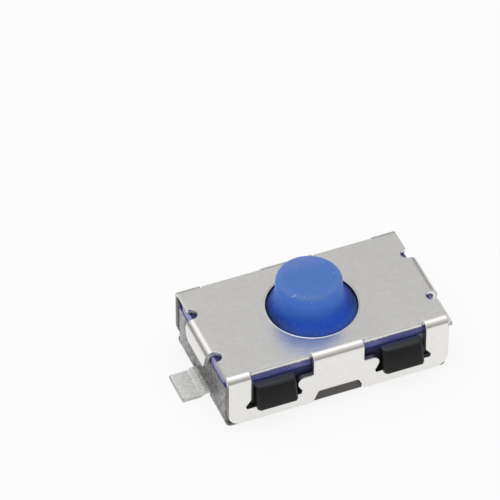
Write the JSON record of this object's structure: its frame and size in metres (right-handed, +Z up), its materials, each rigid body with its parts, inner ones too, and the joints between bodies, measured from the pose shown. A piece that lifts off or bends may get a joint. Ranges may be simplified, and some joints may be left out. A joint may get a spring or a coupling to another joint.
{
  "type": "tactile switch",
  "caption": "Surface-mount tactile switch with a soft silicone key, folded metal cover with side windows and a terminal at each end.",
  "frame": {"origin": "on the board plane under the terminals, below the middle of the switch", "axes": "+X along the length towards the centre-contact terminal, +Y across, +Z up towards the key"},
  "size_m": [0.007, 0.0038, 0.0025],
  "materials": {
    "cover": "matte stamped stainless sheet",
    "silicone": "translucent blue silicone rubber, satin",
    "dome": "polished stainless spring sheet",
    "base": "black moulded thermoplastic, fine satin",
    "terminals": "silver-plated brass strip with bare sheared tips"
  },
  "bodies": {
    "housing": {"cover": "cover", "seal": "silicone", "dome": "dome", "base": "base", "terminal_left": "terminals", "terminal_right": "terminals"},
    "key": {"button": "silicone"}
  },
  "joints": [
    {"name": "button_press", "type": "slide", "parent": "housing", "child": "key", "axis": [0, 0, -1], "range_m": [0, 0.00025], "stiffness_N_per_m": 8000, "deforming": ["dome"]}
  ]
}
